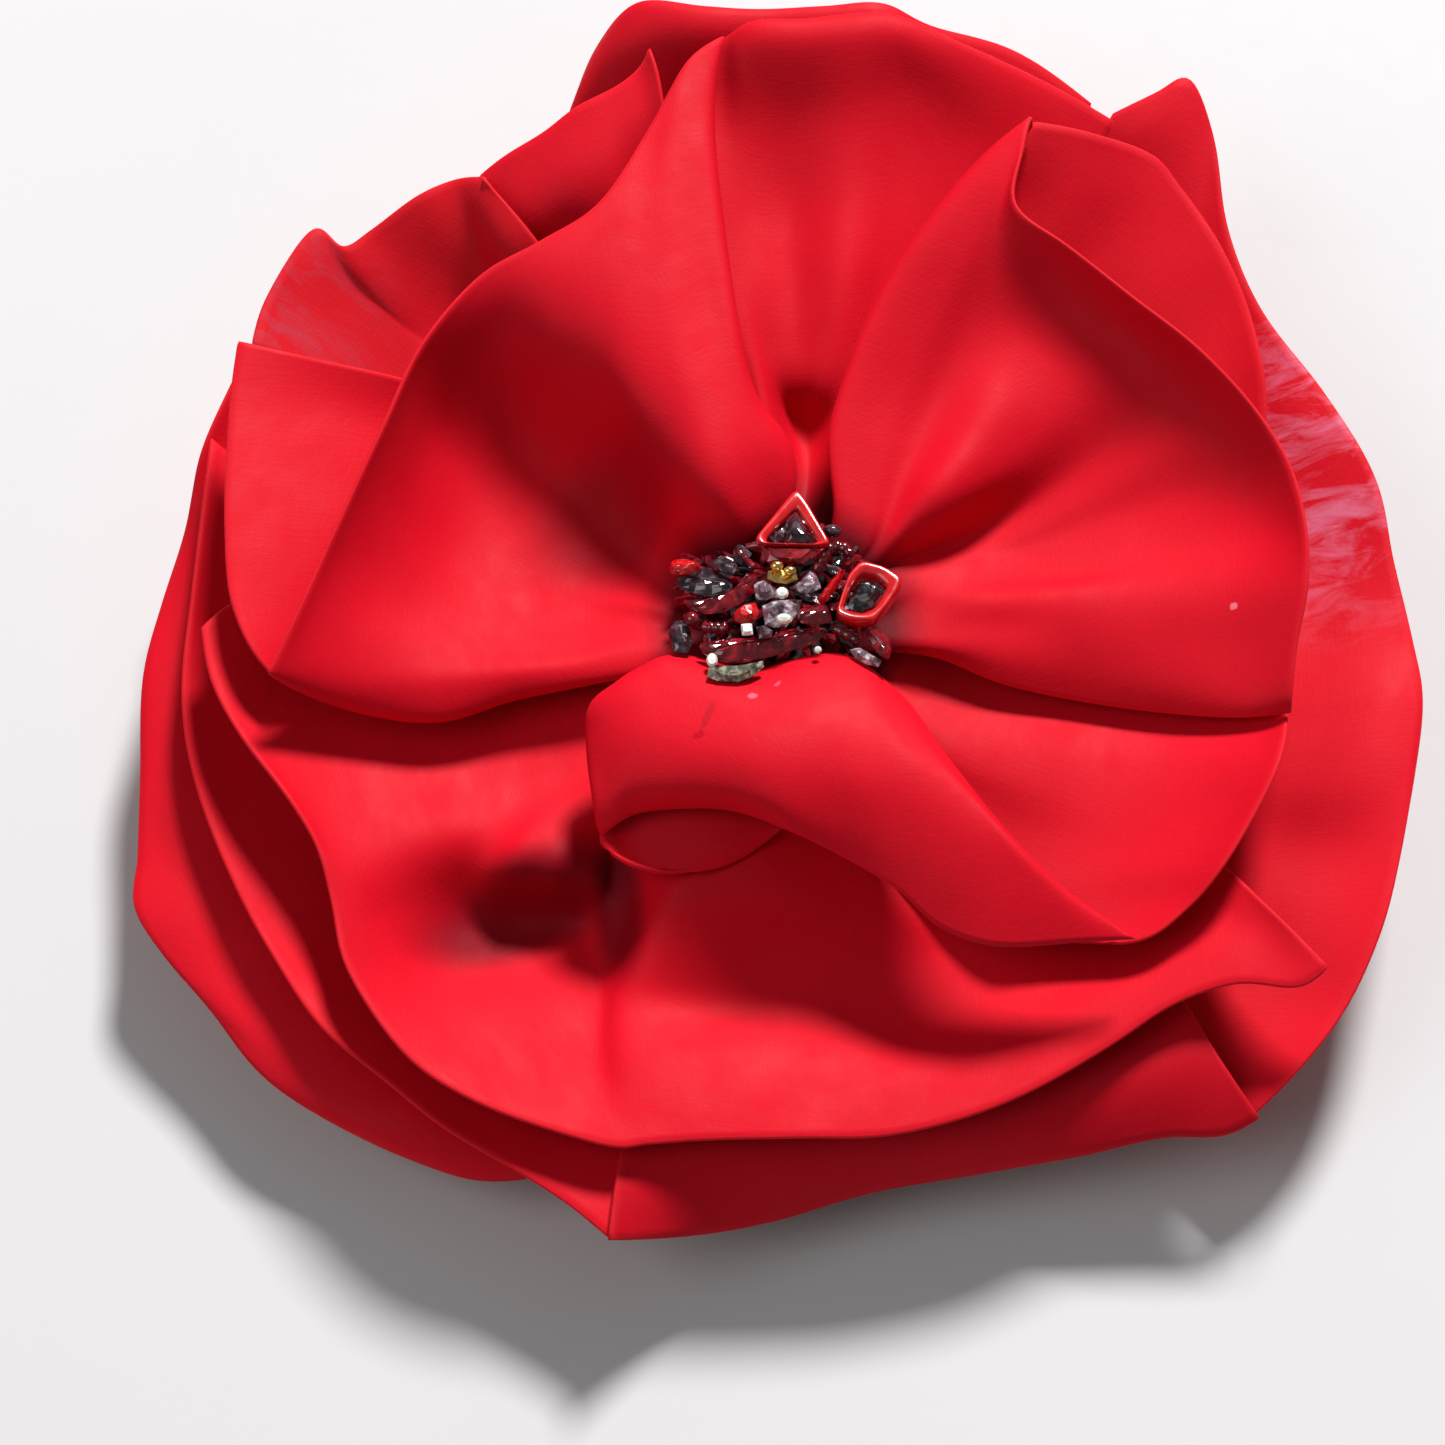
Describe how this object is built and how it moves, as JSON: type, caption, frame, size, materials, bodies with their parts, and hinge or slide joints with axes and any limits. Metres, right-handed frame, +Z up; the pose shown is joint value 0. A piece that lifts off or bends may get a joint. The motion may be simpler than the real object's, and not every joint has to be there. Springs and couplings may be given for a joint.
{
  "type": "flower hair clip",
  "caption": "Large gathered cloth flower with a cut-glass centre, sewn to a felt disc and mounted on a sprung alligator hair clip.",
  "frame": {"origin": "below the middle of the bounding box, on the plane of the moving arm's flat underside", "axes": "+Z up out of the flower's face, X along the clip with its mouth at -X, -Y towards the front tongue petal"},
  "size_m": [0.1136, 0.1152, 0.0322],
  "materials": {
    "petal_cloth": "matte satin-weave cloth, dyed red",
    "felt": "pressed felt",
    "thread": "polyester thread",
    "nickel": "bright nickel plate",
    "spring_steel": "drawn wire",
    "dark_metal": "dark plated",
    "red_enamel": "glossy enamel",
    "gold": "gold plated",
    "clear_glass": "clear cut glass, foil backed",
    "smoky_glass": "smoky grey-violet cut glass",
    "garnet_glass": "dark red cut glass"
  },
  "bodies": {
    "flower": {"petal_inner_left": "petal_cloth", "petal_inner_back": "petal_cloth", "petal_inner_right": "petal_cloth", "petal_front_tongue": "petal_cloth", "petal_right_fold": "petal_cloth", "petal_front_cup": "petal_cloth", "petal_back_right_fold": "petal_cloth", "petal_left_leaf": "petal_cloth", "petal_upper_left": "petal_cloth", "petal_back_left_fold": "petal_cloth", "petal_rear_outer": "petal_cloth", "petal_right_outer": "petal_cloth", "petal_lower_left": "petal_cloth", "petal_front_outer": "petal_cloth", "petal_left_outer": "petal_cloth", "leaf_bezel": "red_enamel", "leaf_stone_left": "smoky_glass", "leaf_stone_right": "smoky_glass", "garnet_bar": "garnet_glass", "garnet_stem_left": "garnet_glass", "violet_leaf": "smoky_glass", "red_tip_leaf": "red_enamel", "smoky_leaf": "smoky_glass", "garnet_leaf_upper": "garnet_glass", "gold_bead_left": "gold", "gold_bead_right": "gold", "gold_setting": "gold", "grey_facet": "clear_glass", "clear_stone_round": "clear_glass", "clear_stone_oval": "clear_glass", "crystal_upper": "clear_glass", "crystal_middle": "clear_glass", "red_petal_bead": "red_enamel", "garnet_petal_right": "garnet_glass", "square_stone": "clear_glass", "square_setting": "garnet_glass", "red_leaf_lower": "red_enamel", "clear_stone_low": "clear_glass", "green_facet": "clear_glass", "clear_stone_small": "clear_glass", "red_arm": "red_enamel", "kite_bezel": "red_enamel", "kite_stone": "smoky_glass", "garnet_elbow": "garnet_glass", "violet_bead_top": "smoky_glass", "garnet_bead_left": "garnet_glass", "violet_bead_stack": "smoky_glass", "left_bar": "garnet_glass", "right_bar": "garnet_glass", "garnet_leaf_right": "garnet_glass", "smoky_bead_right": "smoky_glass", "jewel_plate": "dark_metal", "petal_core": "petal_cloth", "gather_thread": "thread", "felt_lock_strip": "felt", "felt_backing_disc": "felt", "clip_fixed_arm": "nickel", "hinge_pin": "nickel", "torsion_spring": "spring_steel"},
    "jaw": {"clip_moving_arm": "nickel"}
  },
  "joints": [
    {"name": "jaw_hinge", "type": "hinge", "parent": "flower", "child": "jaw", "pos_m": [0.00556, -0.00279, 0.0042], "axis": [0, -1, 0], "range_deg": [0, 18], "stiffness_Nm_per_rad": 0.06, "springref_deg": -28.65, "deforming": ["torsion_spring"]}
  ]
}
